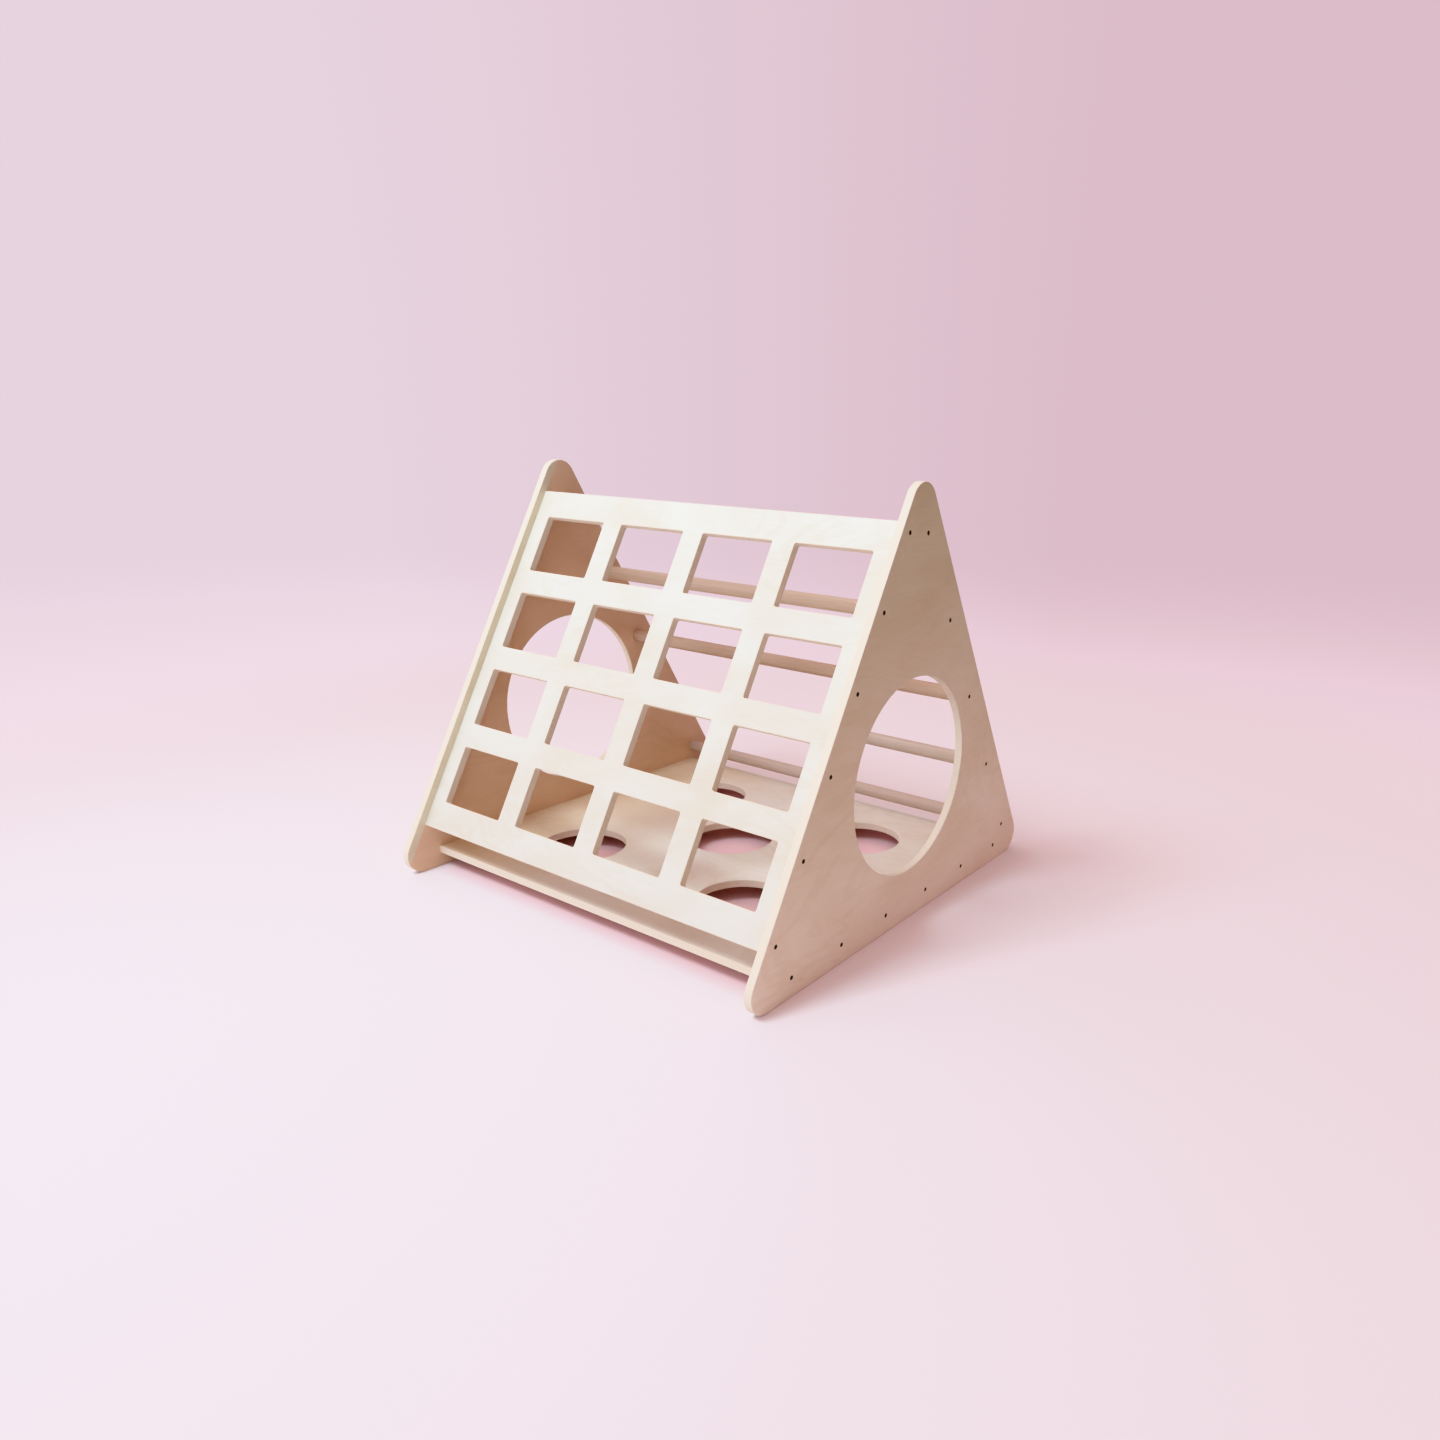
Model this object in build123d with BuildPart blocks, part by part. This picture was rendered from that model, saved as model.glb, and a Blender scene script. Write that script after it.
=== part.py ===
from build123d import *
import os
from math import cos, radians, sin, tan

# A plywood climbing triangle for small children. Two triangular side panels
# stand parallel. A windowed climbing grid closes the front slope, five round
# rungs make a ladder up the rear slope, and a holed floor panel ties the two
# sides together just above the ground. Screws driven through the side panels
# hold everything.
#
# X runs across the width, the climbing grid faces -Y and Z is up. The side
# panels stand on the plane Z = 0.

# ---- overall size, millimetres ----
ply = 18
inner_width = 1000
base_length = 1100
slope = 60
apex_radius = 45
corner_radius = 45
edge_round = 2

# ---- crawl hole through each side panel ----
crawl_hole_sill = 115
crawl_hole_band = 105

# ---- climbing grid on the front slope ----
grid_recess = 17
grid_foot = 141
grid_top_gap = 123
window_columns = 4
window_rows = 4
grid_bar = 56
grid_side_bar = 42
grid_end_bar = 64
window_corner_radius = 5
grid_screw_count = 6
grid_screw_margin = 18

# ---- ladder of rungs on the rear slope ----
rung_count = 5
rung_diameter = 32
rung_inset = 54
lowest_rung = 129
highest_rung_gap = 131

# ---- floor panel ----
floor_underside = 32
floor_setback = 118
floor_hole_diameter = 200
floor_hole_margin_x = 155
floor_hole_margin_y = 112
middle_hole_shift = 30
floor_screw_count = 6
floor_screw_margin = 31

# ---- countersunk wood screws ----
screw_diameter = 4.5
screw_length = 50
screw_head_diameter = 9
screw_head_angle = 90
screw_head_sink = 0.3
screw_point = 6
screw_gap = 0.05
recess_length = 4.6
recess_width = 0.9
recess_depth = 1.4

# ---- sizes that follow from the ones above ----
half_base = base_length / 2
half_width = inner_width / 2
outer_face = half_width + ply
rise = sin(radians(slope))
run = cos(radians(slope))
slope_length = half_base / run
apex_height = half_base * tan(radians(slope))

crawl_hole_radius = (half_base * rise - crawl_hole_sill * run - crawl_hole_band) / (1 + run)
crawl_hole_height = crawl_hole_sill + crawl_hole_radius

grid_top = slope_length - grid_top_gap
grid_length = grid_top - grid_foot
grid_middle = (grid_top + grid_foot) / 2
window_width = (inner_width - 2 * grid_side_bar - (window_columns - 1) * grid_bar) / window_columns
window_length = (grid_length - 2 * grid_end_bar - (window_rows - 1) * grid_bar) / window_rows

floor_length = base_length - 2 * floor_setback
floor_hole_x = half_width - floor_hole_margin_x - floor_hole_diameter / 2
floor_hole_y = floor_length / 2 - floor_hole_margin_y - floor_hole_diameter / 2

head_flat = outer_face - screw_head_sink
head_height = (screw_head_diameter - screw_diameter) / 2 / tan(radians(screw_head_angle / 2))
clearance_radius = screw_diameter / 2 + screw_gap
countersink_radius = screw_head_diameter / 2 + screw_head_sink + screw_gap
pilot_depth = screw_length - (ply - screw_head_sink) + screw_gap


def front_point(up, inward):
    """Y and Z of a point that far up the front edge and that deep behind it."""
    return (-half_base + up * run + inward * rise, up * rise - inward * run)


def rear_point(up, inward):
    """Y and Z of a point that far up the rear edge and that deep behind it."""
    y, z = front_point(up, inward)
    return (-y, z)


def spread(first, last, count):
    """Evenly spaced values from first to last."""
    return [first + (last - first) * number / (count - 1) for number in range(count)]


def side_plane(side, distance):
    """A plane across the width on one side, facing outwards, with Z upwards on it."""
    return Plane(origin=(side * distance, 0, 0), x_dir=(0, side, 0), z_dir=(side, 0, 0))


def on_side(side, points):
    """Points given as Y and Z, written for the plane on that side."""
    return [(side * y, z) for y, z in points]


left, right = -1, 1

# ---- where the screws go, as Y and Z ----
grid_screws = [
    front_point(up, grid_recess + ply / 2)
    for up in spread(grid_foot + grid_screw_margin, grid_top - grid_screw_margin, grid_screw_count)
]
rung_centres = [
    rear_point(up, rung_inset)
    for up in spread(slope_length - highest_rung_gap, lowest_rung, rung_count)
]
floor_screw_reach = floor_length / 2 - floor_screw_margin
floor_screws = [
    (y, floor_underside + ply / 2)
    for y in spread(-floor_screw_reach, floor_screw_reach, floor_screw_count)
]
all_screws = grid_screws + rung_centres + floor_screws


# ---- side panels ----
def make_side_panel(side):
    """One triangular side panel with its crawl hole and countersunk screw holes."""
    with BuildPart() as panel:
        with BuildSketch(side_plane(side, half_width)):
            with BuildLine():
                FilletPolyline(
                    (-half_base, 0),
                    (half_base, 0),
                    (0, apex_height),
                    radius=[corner_radius, corner_radius, apex_radius],
                    close=True,
                )
            make_face()
            with Locations((0, crawl_hole_height)):
                Circle(crawl_hole_radius, mode=Mode.SUBTRACT)
        extrude(amount=ply)
        fillet(faces().filter_by(Axis.X).edges(), edge_round)
        with Locations(side_plane(side, outer_face)):
            with Locations(*on_side(side, all_screws)):
                CounterSinkHole(
                    clearance_radius,
                    countersink_radius,
                    counter_sink_angle=screw_head_angle,
                )
    return panel


left_side_panel = make_side_panel(left)
right_side_panel = make_side_panel(right)

# ---- climbing grid ----
grid_face_middle = front_point(grid_middle, grid_recess)
grid_face = Plane(
    origin=(0, grid_face_middle[0], grid_face_middle[1]),
    x_dir=(1, 0, 0),
    z_dir=(0, -rise, run),
)

with BuildPart() as climbing_grid_panel:
    with BuildSketch(grid_face):
        Rectangle(inner_width, grid_length)
        with GridLocations(
            window_width + grid_bar,
            window_length + grid_bar,
            window_columns,
            window_rows,
        ):
            RectangleRounded(
                window_width,
                window_length,
                window_corner_radius,
                mode=Mode.SUBTRACT,
            )
    extrude(amount=-ply)
    broad_faces = faces().filter_by(GeomType.PLANE).sort_by(SortBy.AREA)[-2:]
    end_edges = edges().filter_by_position(Axis.X, -half_width, -half_width)
    end_edges += edges().filter_by_position(Axis.X, half_width, half_width)
    fillet([edge for edge in broad_faces.edges() if edge not in end_edges], edge_round)
    for side in (left, right):
        with Locations(side_plane(side, half_width)):
            with Locations(*on_side(side, grid_screws)):
                Hole(clearance_radius, pilot_depth)

# ---- floor panel ----
with BuildPart() as floor_panel:
    with BuildSketch(Plane.XY.offset(floor_underside)):
        Rectangle(inner_width, floor_length)
        with GridLocations(2 * floor_hole_x, 2 * floor_hole_y, 2, 2):
            Circle(floor_hole_diameter / 2, mode=Mode.SUBTRACT)
        with Locations((0, middle_hole_shift)):
            Circle(floor_hole_diameter / 2, mode=Mode.SUBTRACT)
    extrude(amount=ply)
    broad_faces = faces().filter_by(Axis.Z)
    end_edges = edges().filter_by_position(Axis.X, -half_width, -half_width)
    end_edges += edges().filter_by_position(Axis.X, half_width, half_width)
    fillet([edge for edge in broad_faces.edges() if edge not in end_edges], edge_round)
    for side in (left, right):
        with Locations(side_plane(side, half_width)):
            with Locations(*on_side(side, floor_screws)):
                Hole(clearance_radius, pilot_depth)


# ---- rungs ----
def make_rung(centre):
    """A round rung between the side panels, with a pilot hole in each end."""
    with BuildPart() as rung:
        with BuildSketch(side_plane(right, -half_width)):
            with Locations(centre):
                Circle(rung_diameter / 2)
        extrude(amount=inner_width)
        for side in (left, right):
            with Locations(side_plane(side, half_width)):
                with Locations(*on_side(side, [centre])):
                    Hole(clearance_radius, pilot_depth)
    return rung


rungs = [make_rung(centre) for centre in rung_centres]


# ---- screws ----
with BuildPart() as screw:
    with BuildSketch(Plane.XZ):
        with BuildLine():
            Polyline(
                (0, 0),
                (screw_head_diameter / 2, 0),
                (screw_diameter / 2, -head_height),
                (screw_diameter / 2, screw_point - screw_length),
                (0, -screw_length),
                close=True,
            )
        make_face()
    revolve(axis=Axis.Z)
    with BuildSketch():
        Rectangle(recess_length, recess_width)
        Rectangle(recess_width, recess_length)
    extrude(amount=-recess_depth, mode=Mode.SUBTRACT)


def make_screws(sides, points):
    """Screws driven into the given sides, one at each point."""
    with BuildPart() as screws:
        for side in sides:
            with Locations(side_plane(side, head_flat)):
                with Locations(*on_side(side, points)):
                    add(screw.part)
    return screws


# ---- every piece, saved under its own name ----
os.makedirs("parts", exist_ok=True)

pieces = {
    "left_side_panel": left_side_panel,
    "right_side_panel": right_side_panel,
    "climbing_grid_panel": climbing_grid_panel,
    "floor_panel": floor_panel,
    "grid_screws_left": make_screws([left], grid_screws),
    "grid_screws_right": make_screws([right], grid_screws),
    "floor_screws_left": make_screws([left], floor_screws),
    "floor_screws_right": make_screws([right], floor_screws),
}
for number, centre in enumerate(rung_centres, start=1):
    pieces[f"rung_{number}"] = rungs[number - 1]
    pieces[f"rung_{number}_screws"] = make_screws([left, right], [centre])

for name, piece in pieces.items():
    piece.part.label = name
    export_step(piece.part, f"parts/{name}.step")
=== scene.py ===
from math import cos, pi, radians, sin

import bpy
from mathutils import Matrix, Vector


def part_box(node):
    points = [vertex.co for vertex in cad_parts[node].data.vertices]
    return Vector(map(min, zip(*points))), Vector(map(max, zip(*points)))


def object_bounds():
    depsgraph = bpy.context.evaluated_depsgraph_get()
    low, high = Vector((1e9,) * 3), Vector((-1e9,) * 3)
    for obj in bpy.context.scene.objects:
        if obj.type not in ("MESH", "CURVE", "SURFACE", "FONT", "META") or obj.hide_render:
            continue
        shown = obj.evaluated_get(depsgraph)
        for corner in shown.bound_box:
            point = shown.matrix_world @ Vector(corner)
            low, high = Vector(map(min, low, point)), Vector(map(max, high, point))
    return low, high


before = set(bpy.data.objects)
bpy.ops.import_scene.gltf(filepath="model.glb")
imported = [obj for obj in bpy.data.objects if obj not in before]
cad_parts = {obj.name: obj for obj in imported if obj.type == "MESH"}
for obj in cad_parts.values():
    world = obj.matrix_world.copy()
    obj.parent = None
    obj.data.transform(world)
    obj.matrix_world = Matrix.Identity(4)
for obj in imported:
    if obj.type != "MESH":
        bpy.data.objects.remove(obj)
cad_low, cad_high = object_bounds()

# A climbing triangle of sanded birch plywood: two side panels, a windowed
# grid on the front slope, round rungs on the rear slope and a holed floor
# panel. Every piece keeps its CAD shape; this script gives each one its wood
# or metal, and sets up the studio around it. Lengths are in metres.

# ---- directions ----
X, Y, Z = (1, 0, 0), (0, 1, 0), (0, 0, 1)
SLOPE = radians(60)
GRID_NORMAL = Vector((0, -sin(SLOPE), cos(SLOPE)))

# ---- birch colours ----
SAPWOOD = (0.800, 0.700, 0.560)
HEARTWOOD = (0.700, 0.555, 0.390)
END_GRAIN = (0.720, 0.620, 0.500)
GLUE = (0.300, 0.170, 0.090)
FLECK = (0.420, 0.260, 0.140)
DOWEL_PALE = (0.700, 0.555, 0.425)
DOWEL_DARK = (0.560, 0.395, 0.280)
RUNG_TINTS = {
    "rung_1": (1.00, 1.00, 1.00),
    "rung_2": (1.07, 1.10, 1.11),
    "rung_3": (0.84, 0.77, 0.73),
    "rung_4": (0.92, 0.95, 1.02),
    "rung_5": (0.88, 0.89, 0.96),
}
PLAIN_TINT = (0.95, 0.95, 0.95)
# each sheet's own tone on its best face, with painted light and shade in it: at the floor
# and at the top (painted pink bounce light low on the right side panel, painted shade low
# on the grid); on the left side panel, painted warm bounce light behind the grid and
# painted shade on the strip that stands proud of it; and on the floor panel, painted
# light and shade from its left to its right
BEST_FACE_TONES_AND_PAINTED_SHADES = {
    "left": ((1.03, 0.85, 0.755), (0.98, 1.03, 0.98)),
    "right": ((1.18, 1.14, 1.15), (0.99, 0.97, 0.82)),
    "grid": ((0.77, 0.82, 0.88), (0.83, 0.885, 0.945)),
    "floor": ((0.98, 0.95, 0.87), (1.00, 1.06, 1.16)),
}
# where along X the floor panel's painted light and shade change, and over what depth in front of
# the grid the left panel's painted shade changes
FLOOR_PAINTED_SHADE_CHANGE = (-0.40, -0.08)
GRID_PAINTED_SHADE_STEP = 0.004

# ---- birch figure ----
# how often each pattern repeats in a metre: along the grain, across it and,
# where there is a third number, through the sheet
FIGURE_SCALE = (1.7, 3.4)
CLOUD_SCALE = (3.0, 5.0)
PATCH_SCALE = (2.1, 3.3, 1.0)
STREAK_SCALE = (14.0, 190.0)
FIBRE_SCALE = (45.0, 1100.0)
FLECK_SCALE = (90.0, 380.0)
FLECK_PLACE_SCALE = (9.0, 14.0)
UNEVEN_PLY_SCALE = (6.0, 6.0)
PORE_SCALE = 1500.0
PLY_STREAK_SCALE = 9.0
RING_SCALE = (0.9, 55.0, 55.0)
DOWEL_FIBRE_SCALE = (25.0, 1400.0, 1400.0)

# how many contour lines the figure's field is drawn as, and how dark each mark is
FIGURE_LINES = 78.0
FIGURE_STRENGTH = 0.21
CLOUD_STRENGTH = 0.55
FLECK_STRENGTH = 0.5
GLUE_STRENGTH = 0.42
RING_LINES = 40.0
RING_STRENGTH = 0.22

PLY_COUNT = 13
PLY_WAVER = 0.00012
FACE_RELIEF = 0.00025
DOWEL_RELIEF = 0.0002

# where each sheet and rung lies in the patterns, so that no two look alike
SHEET_SEEDS = {"left": 3.1, "right": 7.7, "grid": 5.9, "floor": 12.4}
ASIDE_SEED_SHARE = 0.37
RUNG_SEED_STEP = 1.3
RUNG_SEED_SHARES = Vector((1.0, 1.7, 0.6))

# ---- screws ----
STEEL_COATED = (0.042, 0.020, 0.010)
STEEL_RUBBED = (0.115, 0.064, 0.036)
STEEL_GRAIN_SCALE = 2600.0
STEEL_RUB_SCALE = 420.0
STEEL_RELIEF = 0.0001

# ---- studio ----
PAPER = (0.825, 0.745, 0.740)
# painted shade: a deeper pink painted on the paper under the object, within these half widths and
# depths
SHADED_PAPER = (0.900, 0.620, 0.630)
SHADED_HALF_WIDTH = (0.44, 0.54)
SHADED_HALF_DEPTH = (0.41, 0.475)
PAPER_RADIUS = 6.0
PAPER_FADE = (1.5, 3.0)
KEY_COLOUR = (0.56, 0.80, 0.93)
KEY_WATTS = 90
KEY_SIZE = 1.3
KEY_DISTANCE = 3.3
KEY_DIRECTION = Vector((-0.18, -0.72, 1.0))
KEY_AIM = Vector((0, 0, 0.3))
# the room light from each direction, which fades away towards the sides of it
ROOM_LIGHT = (
    (Z, (1.20, 0.81, 0.79)),
    ((-1, 0, 0), (1.47, 1.46, 1.60)),
    ((0, -1, 0), (1.38, 1.40, 1.62)),
    (Y, (0.15, 0.09, 0.09)),
)
BACKDROP_LEFT = (0.850, 0.705, 0.790)
BACKDROP_RIGHT = (0.755, 0.545, 0.625)
BACKDROP_LOW_LEFT = (1.15, 0.96, 1.05)
BACKDROP_LOW_RIGHT = (0.99, 0.76, 0.84)
BACKDROP_RIGHTWARDS = (0.815, 0.579, 0.0)
BACKDROP_SIDES = (-0.39, 0.21)
BACKDROP_HORIZON = (-0.29, -0.11)

# ---- camera ----
SENSOR_WIDTH = 36.0
FOCAL_LENGTH = 26.005
LENS_SHIFT = (-0.0802, 0.0461)
CAMERA_PLACE = (1.5464, -1.7426, 1.0187)
CAMERA_AZIMUTH = radians(34.986)
CAMERA_ELEVATION = radians(19.594)
CAMERA_ROLL = radians(1.227)


class Graph:
    """The node graph of one material, with short ways to add to it."""

    def __init__(self, owner):
        owner.use_nodes = True
        self.tree = owner.node_tree
        self.tree.nodes.clear()

    def add(self, kind, inputs=None, **settings):
        """A new node, with its settings made and its inputs set or linked."""
        node = self.tree.nodes.new(kind)
        for name, value in settings.items():
            setattr(node, name, value)
        for key, value in (inputs or {}).items():
            if isinstance(value, bpy.types.NodeSocket):
                self.tree.links.new(value, node.inputs[key])
            else:
                node.inputs[key].default_value = value
        return node

    def math(self, operation, *values, clamp=False):
        """The result of a Math node on numbers or sockets."""
        inputs = dict(enumerate(values))
        node = self.add("ShaderNodeMath", inputs, operation=operation, use_clamp=clamp)
        return node.outputs[0]

    def vector(self, operation, first, second):
        """The resulting vector of a Vector Math node."""
        inputs = {0: first, 1: tuple(second)}
        return self.add("ShaderNodeVectorMath", inputs, operation=operation).outputs[0]

    def dot(self, vector, direction):
        """How far a vector reaches along a direction."""
        inputs = {0: vector, 1: tuple(direction)}
        node = self.add("ShaderNodeVectorMath", inputs, operation="DOT_PRODUCT")
        return node.outputs["Value"]

    def join(self, x, y, z):
        """Three numbers as a vector."""
        return self.add("ShaderNodeCombineXYZ", {0: x, 1: y, 2: z}).outputs[0]

    def noise(self, vector, scale=1.0, detail=2.0, roughness=0.5, distortion=0.0):
        """Smooth noise from 0 to 1."""
        inputs = {
            "Vector": vector,
            "Scale": scale,
            "Detail": detail,
            "Roughness": roughness,
            "Distortion": distortion,
        }
        return self.add("ShaderNodeTexNoise", inputs).outputs[0]

    def span(self, value, low, high, to_low=0.0, to_high=1.0, smooth=True):
        """A value's place between low and high, carried over to two other ends."""
        kind = "SMOOTHSTEP" if smooth else "LINEAR"
        inputs = {0: value, 1: low, 2: high, 3: to_low, 4: to_high}
        return self.add("ShaderNodeMapRange", inputs, interpolation_type=kind).outputs[0]

    def mix(self, amount, first, second, blend="MIX"):
        """Two colours mixed; each is a socket or a red, green, blue tuple."""
        first, second = (
            colour if isinstance(colour, bpy.types.NodeSocket) else (*colour, 1.0)
            for colour in (first, second)
        )
        inputs = {0: amount, 6: first, 7: second}
        node = self.add("ShaderNodeMix", inputs, data_type="RGBA", blend_type=blend)
        return node.outputs[2]

    def bump(self, height, distance, strength):
        """A bumped normal from a height of 0 to 1 over a distance in metres."""
        inputs = {"Height": height, "Distance": distance, "Strength": strength}
        return self.add("ShaderNodeBump", inputs).outputs[0]

    def surface(self, **inputs):
        """The finished surface. Names are the shader's own, with _ for a space."""
        inputs = {name.replace("_", " "): value for name, value in inputs.items()}
        shader = self.add("ShaderNodeBsdfPrincipled", inputs)
        self.add("ShaderNodeOutputMaterial", {"Surface": shader.outputs[0]})


class Sheet:
    """The places on one plywood sheet that its material is built from.

    across is the direction through the sheet towards its best face, grain that of
    the face veneers, and back how far along across its other face lies."""

    def __init__(self, graph, across, grain, back, seed):
        across, grain = Vector(across), Vector(grain)
        cross = across.cross(grain)
        place = graph.add("ShaderNodeTexCoord").outputs
        self.graph = graph
        self.point = place["Object"]
        self.depth = graph.math("SUBTRACT", graph.dot(self.point, across), back)
        self.along = graph.math("ADD", graph.dot(self.point, grain), seed)
        self.aside = graph.math("ADD", graph.dot(self.point, cross), seed * ASIDE_SEED_SHARE)
        self.facing_across = graph.dot(place["Normal"], across)
        self.facing_grain = graph.dot(place["Normal"], grain)
        self.facing_cross = graph.dot(place["Normal"], cross)

    def space(self, along_scale, aside_scale, depth_scale=0.0):
        """The sheet's own coordinates, each scaled by its own amount."""
        return self.graph.join(
            self.graph.math("MULTIPLY", self.along, along_scale),
            self.graph.math("MULTIPLY", self.aside, aside_scale),
            self.graph.math("MULTIPLY", self.depth, depth_scale),
        )


def veneer(sheet, streaks, fibres):
    """The figure of a peeled veneer: contour lines of a slow, meandering field, in
    pale clouds, with streaks, fibres and a few dark flecks."""
    graph = sheet.graph
    field = graph.noise(sheet.space(*FIGURE_SCALE), detail=3.0, distortion=0.9)
    wave = graph.math("SINE", graph.math("MULTIPLY", field, FIGURE_LINES))
    contour = graph.span(wave, 0.1, 1.0)
    cloud = graph.noise(sheet.space(*CLOUD_SCALE), detail=4.0, roughness=0.6, distortion=0.5)
    patches = graph.noise(sheet.space(*PATCH_SCALE), detail=1.0)
    strength = graph.span(patches, 0.38, 0.62, 0.15, 1.0)
    tone = graph.math("MULTIPLY", graph.math("MULTIPLY", contour, strength), FIGURE_STRENGTH)
    tone = graph.math("ADD", tone, graph.span(cloud, 0.30, 0.72, 0.0, CLOUD_STRENGTH))
    tone = graph.math("ADD", tone, graph.span(streaks, 0.30, 0.75, -0.06, 0.10))
    tone = graph.math("ADD", tone, graph.span(fibres, 0.25, 0.80, -0.05, 0.08), clamp=True)
    fleck_shape = graph.noise(sheet.space(*FLECK_SCALE), detail=1.5)
    fleck_place = graph.noise(sheet.space(*FLECK_PLACE_SCALE), detail=1.0)
    flecks = graph.math(
        "MULTIPLY",
        graph.span(fleck_shape, 0.71, 0.78),
        graph.span(fleck_place, 0.54, 0.68, 0.0, FLECK_STRENGTH),
    )
    return graph.mix(flecks, graph.mix(tone, SAPWOOD, HEARTWOOD), FLECK)


def plies(sheet, thickness, pores):
    """The colour of the cut edge, and how much each point of it shows end grain.

    Each ply is pale where its grain runs along the edge, and darker where it ends
    there, with a thin glue line between one ply and the next."""
    graph = sheet.graph
    uneven = graph.noise(sheet.space(*UNEVEN_PLY_SCALE), detail=1.0)
    waver = graph.span(uneven, 0.2, 0.8, -PLY_WAVER, PLY_WAVER)
    layer = graph.math("MULTIPLY", graph.math("ADD", sheet.depth, waver), PLY_COUNT / thickness)
    # an even number added keeps the odd and even plies, and no layer falls below zero
    above_zero = graph.math("ADD", layer, 20.0)
    crossed = graph.math("GREATER_THAN", graph.math("MODULO", above_zero, 2.0), 1.0)
    ends = {
        0: crossed,
        2: graph.math("ABSOLUTE", sheet.facing_grain),
        3: graph.math("ABSOLUTE", sheet.facing_cross),
    }
    end = graph.add("ShaderNodeMix", ends, data_type="FLOAT").outputs[0]
    end = graph.math("MULTIPLY", end, graph.span(pores, 0.2, 0.8, 0.45, 0.85))
    streak_space = graph.join(layer, sheet.along, sheet.aside)
    streaks = graph.noise(streak_space, scale=PLY_STREAK_SCALE, detail=3.0)
    edge = graph.mix(graph.span(streaks, 0.3, 0.75, 0.0, 0.30), SAPWOOD, HEARTWOOD)
    edge = graph.mix(end, edge, END_GRAIN)
    within = graph.math("FRACT", above_zero)
    off_middle = graph.math("ABSOLUTE", graph.math("SUBTRACT", within, 0.5))
    glue = graph.span(off_middle, 0.43, 0.49, 0.0, GLUE_STRENGTH)
    return graph.mix(glue, edge, GLUE), end


def plywood(name, across, grain, back, thickness, tones_and_painted_shades, change, seed):
    """Birch plywood: a figured face veneer, and dark and pale plies on every cut edge.

    tones_and_painted_shades are the best face's two colours, each its own tone with painted
    light and shade in it, and change the direction and the two ends of the change between them."""
    material = bpy.data.materials.new(name)
    graph = Graph(material)
    sheet = Sheet(graph, across, grain, back, seed)
    streaks = graph.noise(sheet.space(*STREAK_SCALE), detail=3.0, roughness=0.6)
    fibres = graph.noise(sheet.space(*FIBRE_SCALE), detail=2.0, roughness=0.6)
    pores = graph.noise(sheet.point, scale=PORE_SCALE, detail=2.0)

    # painted light and shade: the best face's colour changes along a direction between two tones
    # that hold the sheet's own tone and its painted light and shade
    direction, change_start, change_end = change
    reach = graph.dot(sheet.point, direction)
    changed = graph.span(reach, change_start, change_end, smooth=False)
    on_painted_face = graph.span(sheet.facing_across, 0.0, 0.5)
    tint = graph.mix(on_painted_face, PLAIN_TINT, graph.mix(changed, *tones_and_painted_shades))
    face = graph.mix(1.0, veneer(sheet, streaks, fibres), tint, blend="MULTIPLY")
    edge, end = plies(sheet, thickness, pores)

    on_face = graph.span(graph.math("ABSOLUTE", sheet.facing_across), 0.90, 0.985)
    rough_face = graph.span(streaks, 0.3, 0.7, 0.50, 0.62)
    relief = graph.math(
        "ADD",
        graph.math("MULTIPLY", fibres, 0.6),
        graph.math("MULTIPLY", graph.math("MULTIPLY", pores, end), 0.8),
    )
    graph.surface(
        Base_Color=graph.mix(on_face, edge, face),
        Roughness=graph.span(on_face, 0.0, 1.0, 0.72, rough_face, smooth=False),
        Specular_IOR_Level=0.35,
        Normal=graph.bump(relief, FACE_RELIEF, 0.55),
    )
    return material


def dowel(name, axis_point, tint, seed):
    """Turned birch dowel, its grain running along X."""
    material = bpy.data.materials.new(name)
    graph = Graph(material)
    point = graph.add("ShaderNodeTexCoord").outputs["Object"]
    centred = graph.vector("SUBTRACT", point, axis_point)
    ring_space = graph.vector("MULTIPLY", centred, RING_SCALE)
    ring_space = graph.vector("ADD", ring_space, seed * RUNG_SEED_SHARES)
    figure = graph.noise(ring_space, detail=2.5, distortion=0.4)
    wave = graph.math("SINE", graph.math("MULTIPLY", figure, RING_LINES))
    fibre_space = graph.vector("MULTIPLY", centred, DOWEL_FIBRE_SCALE)
    fibres = graph.noise(fibre_space, detail=2.0, roughness=0.6)
    tone = graph.math("MULTIPLY", graph.span(wave, -0.3, 1.0), RING_STRENGTH)
    tone = graph.math("ADD", tone, graph.span(fibres, 0.25, 0.8, -0.05, 0.25))
    tone = graph.math("ADD", tone, graph.span(figure, 0.3, 0.7, 0.0, 0.30), clamp=True)
    birch = graph.mix(tone, DOWEL_PALE, DOWEL_DARK)
    graph.surface(
        Base_Color=graph.mix(1.0, birch, tint, blend="MULTIPLY"),
        Roughness=graph.span(fibres, 0.3, 0.7, 0.44, 0.56),
        Specular_IOR_Level=0.40,
        Normal=graph.bump(fibres, DOWEL_RELIEF, 0.5),
    )
    return material


def screw_steel(name):
    """Dark brown coated steel, a little rubbed in patches."""
    material = bpy.data.materials.new(name)
    graph = Graph(material)
    point = graph.add("ShaderNodeTexCoord").outputs["Object"]
    grains = graph.noise(point, scale=STEEL_GRAIN_SCALE, detail=3.0)
    rubs = graph.noise(point, scale=STEEL_RUB_SCALE, detail=2.0)
    graph.surface(
        Base_Color=graph.mix(graph.span(rubs, 0.48, 0.72), STEEL_COATED, STEEL_RUBBED),
        Metallic=0.2,
        Specular_IOR_Level=0.25,
        Roughness=graph.span(grains, 0.3, 0.7, 0.46, 0.62),
        Normal=graph.bump(grains, STEEL_RELIEF, 0.6),
    )
    return material


def paint(node_name, material):
    """Gives a CAD piece its material."""
    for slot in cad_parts[node_name].material_slots:
        slot.link = "OBJECT"
        slot.material = material


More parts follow.
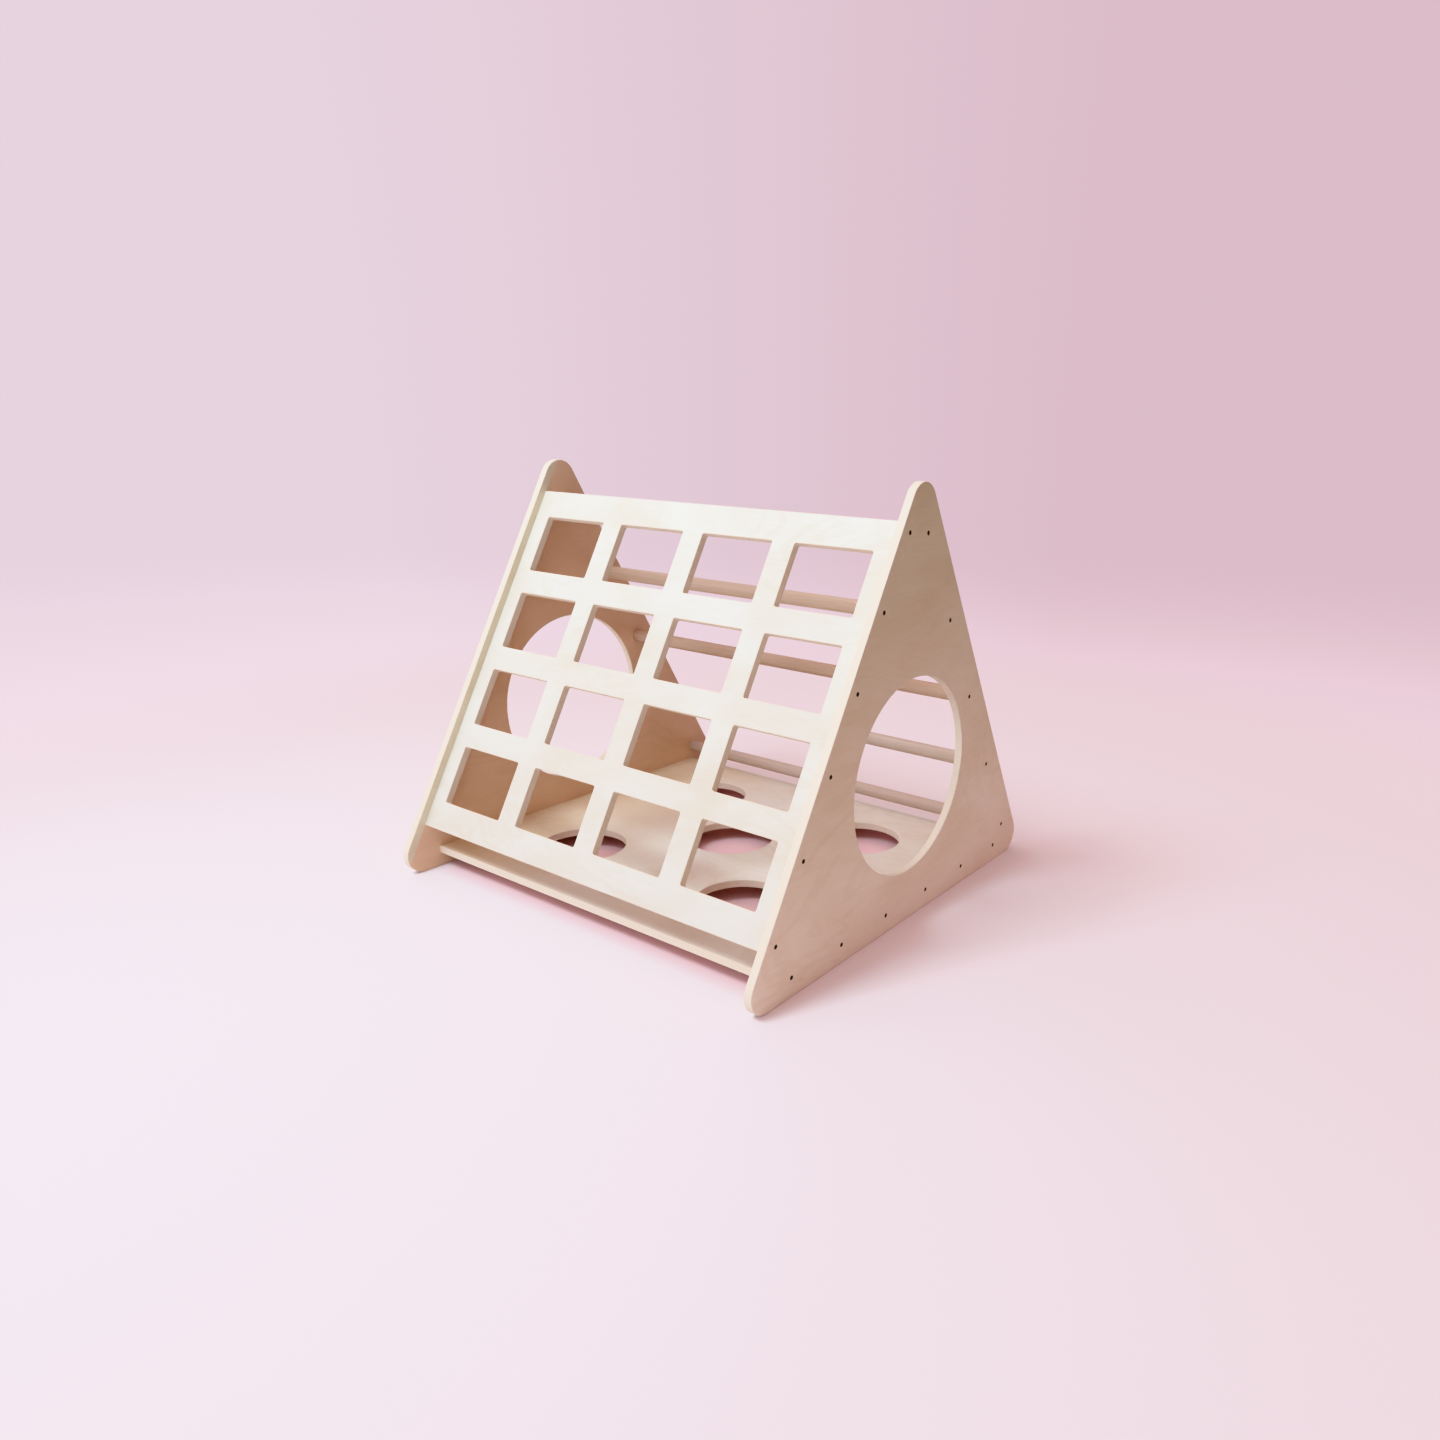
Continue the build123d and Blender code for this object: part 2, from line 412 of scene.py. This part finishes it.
# ---- materials ----
def finish_panels():
    """Each panel as its own sheet of plywood."""
    floor_low, floor_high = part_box("floor_panel")
    left_low, right_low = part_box("left_side_panel")[0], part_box("right_side_panel")[0]
    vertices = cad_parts["climbing_grid_panel"].data.vertices
    grid_depths = [vertex.co.dot(GRID_NORMAL) for vertex in vertices]
    grid_back, grid_front = min(grid_depths), max(grid_depths)
    # the directions along which each sheet's painted light and shade change: upwards on the right
    # side panel and the grid, rightwards on the floor panel, and out past the grid's front on the
    # left panel
    upwards = (Z, 0.0, cad_high.z)
    rightwards = (X, *FLOOR_PAINTED_SHADE_CHANGE)
    past_grid = (GRID_NORMAL, grid_front - GRID_PAINTED_SHADE_STEP, grid_front)
    sheets = (
        ("left", "left_side_panel", X, Y, left_low.x, past_grid),
        ("right", "right_side_panel", X, Y, right_low.x, upwards),
        ("grid", "climbing_grid_panel", GRID_NORMAL, X, grid_back, upwards),
        ("floor", "floor_panel", Z, X, floor_low.z, rightwards),
    )
    thickness = floor_high.z - floor_low.z
    for name, node_name, across, grain, back, change in sheets:
        tones_and_painted_shades, seed = BEST_FACE_TONES_AND_PAINTED_SHADES[name], SHEET_SEEDS[name]
        material_name = f"birch_ply_{name}"
        material = plywood(material_name, across, grain, back, thickness, tones_and_painted_shades, change, seed)
        paint(node_name, material)


def finish_rungs_and_screws():
    """Each rung as its own dowel, and one steel for all screws."""
    steel = screw_steel("dark_screw_steel")
    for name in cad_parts:
        if "screws" in name:
            paint(name, steel)
        elif name.startswith("rung"):
            low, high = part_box(name)
            seed = RUNG_SEED_STEP * float(name[-1])
            paint(name, dowel(f"birch_{name}", (low + high) / 2, RUNG_TINTS[name], seed))


finish_panels()
finish_rungs_and_screws()


# ---- studio ----
def make_floor():
    """A pale round floor that fades into the backdrop far from the object, and is
    painted a deeper pink under the object as painted shade."""
    bpy.ops.mesh.primitive_circle_add(vertices=128, radius=PAPER_RADIUS, fill_type="NGON")
    floor = bpy.context.object
    floor.name = "studio_floor"
    material = bpy.data.materials.new("studio_paper")
    graph = Graph(material)
    point = graph.add("ShaderNodeTexCoord").outputs["Object"]
    length = graph.add("ShaderNodeVectorMath", {0: point}, operation="LENGTH")
    fade = graph.span(length.outputs["Value"], *PAPER_FADE)
    axes = graph.add("ShaderNodeSeparateXYZ", {0: point}).outputs
    off_middle_x, off_middle_y = (graph.math("ABSOLUTE", axes[index]) for index in (0, 1))
    # painted shade: a soft box under the object where the paper is painted deeper pink
    within_width = graph.span(off_middle_x, *SHADED_HALF_WIDTH, 1.0, 0.0)
    within_depth = graph.span(off_middle_y, *SHADED_HALF_DEPTH, 1.0, 0.0)
    shaded = graph.math("MULTIPLY", within_width, within_depth)
    colour = graph.mix(shaded, PAPER, SHADED_PAPER)
    paper = graph.add("ShaderNodeBsdfDiffuse", {"Color": colour})
    clear = graph.add("ShaderNodeBsdfTransparent")
    shader = graph.add("ShaderNodeMixShader", {0: fade, 1: paper.outputs[0], 2: clear.outputs[0]})
    graph.add("ShaderNodeOutputMaterial", {"Surface": shader.outputs[0]})
    floor.data.materials.append(material)


def make_world():
    """A pink backdrop to look at, and soft room light, each side with its own strength."""
    world = bpy.data.worlds.new("studio")
    bpy.context.scene.world = world
    graph = Graph(world)
    towards = graph.add("ShaderNodeTexCoord").outputs["Generated"]
    sideways = graph.dot(towards, BACKDROP_RIGHTWARDS)
    height = graph.dot(towards, Z)
    rightwards = graph.span(sideways, *BACKDROP_SIDES, smooth=False)
    high_colour = graph.mix(rightwards, BACKDROP_LEFT, BACKDROP_RIGHT)
    low_colour = graph.mix(rightwards, BACKDROP_LOW_LEFT, BACKDROP_LOW_RIGHT)
    seen = graph.mix(graph.span(height, *BACKDROP_HORIZON), low_colour, high_colour)
    room = (0.0, 0.0, 0.0)
    for direction, colour in ROOM_LIGHT:
        reach = graph.math("MAXIMUM", graph.dot(towards, direction), 0.0)
        room = graph.mix(graph.math("MULTIPLY", reach, reach), room, colour, blend="ADD")
    ray = graph.add("ShaderNodeLightPath").outputs["Is Camera Ray"]
    light = graph.add("ShaderNodeBackground", {"Color": room, "Strength": 1.0})
    view = graph.add("ShaderNodeBackground", {"Color": seen, "Strength": 1.0})
    shader = graph.add(
        "ShaderNodeMixShader", {0: ray, 1: light.outputs[0], 2: view.outputs[0]}
    )
    graph.add("ShaderNodeOutputWorld", {"Surface": shader.outputs[0]})


def make_key_light():
    """One large soft lamp in front of the object, high up and a little to its left."""
    lamp = bpy.data.lights.new("key", "AREA")
    lamp.shape = "DISK"
    lamp.size = KEY_SIZE
    lamp.energy = KEY_WATTS
    lamp.color = KEY_COLOUR
    key = bpy.data.objects.new("key", lamp)
    bpy.context.scene.collection.objects.link(key)
    towards_lamp = KEY_DIRECTION.normalized()
    key.location = KEY_AIM + KEY_DISTANCE * towards_lamp
    key.rotation_euler = towards_lamp.to_track_quat("Z", "Y").to_euler()
    key.visible_camera = False


def make_camera():
    """The camera stands to the front right of the object, a little above it."""
    lens = bpy.data.cameras.new("camera")
    lens.sensor_width = SENSOR_WIDTH
    lens.lens = FOCAL_LENGTH
    lens.shift_x, lens.shift_y = LENS_SHIFT
    camera = bpy.data.objects.new("camera", lens)
    turn = (
        Matrix.Rotation(CAMERA_AZIMUTH, 4, "Z")
        @ Matrix.Rotation(pi / 2 - CAMERA_ELEVATION, 4, "X")
        @ Matrix.Rotation(CAMERA_ROLL, 4, "Z")
    )
    camera.matrix_world = Matrix.Translation(CAMERA_PLACE) @ turn
    bpy.context.scene.collection.objects.link(camera)
    bpy.context.scene.camera = camera


make_floor()
make_world()
make_key_light()
make_camera()
bpy.context.scene.view_settings.view_transform = "Khronos PBR Neutral"
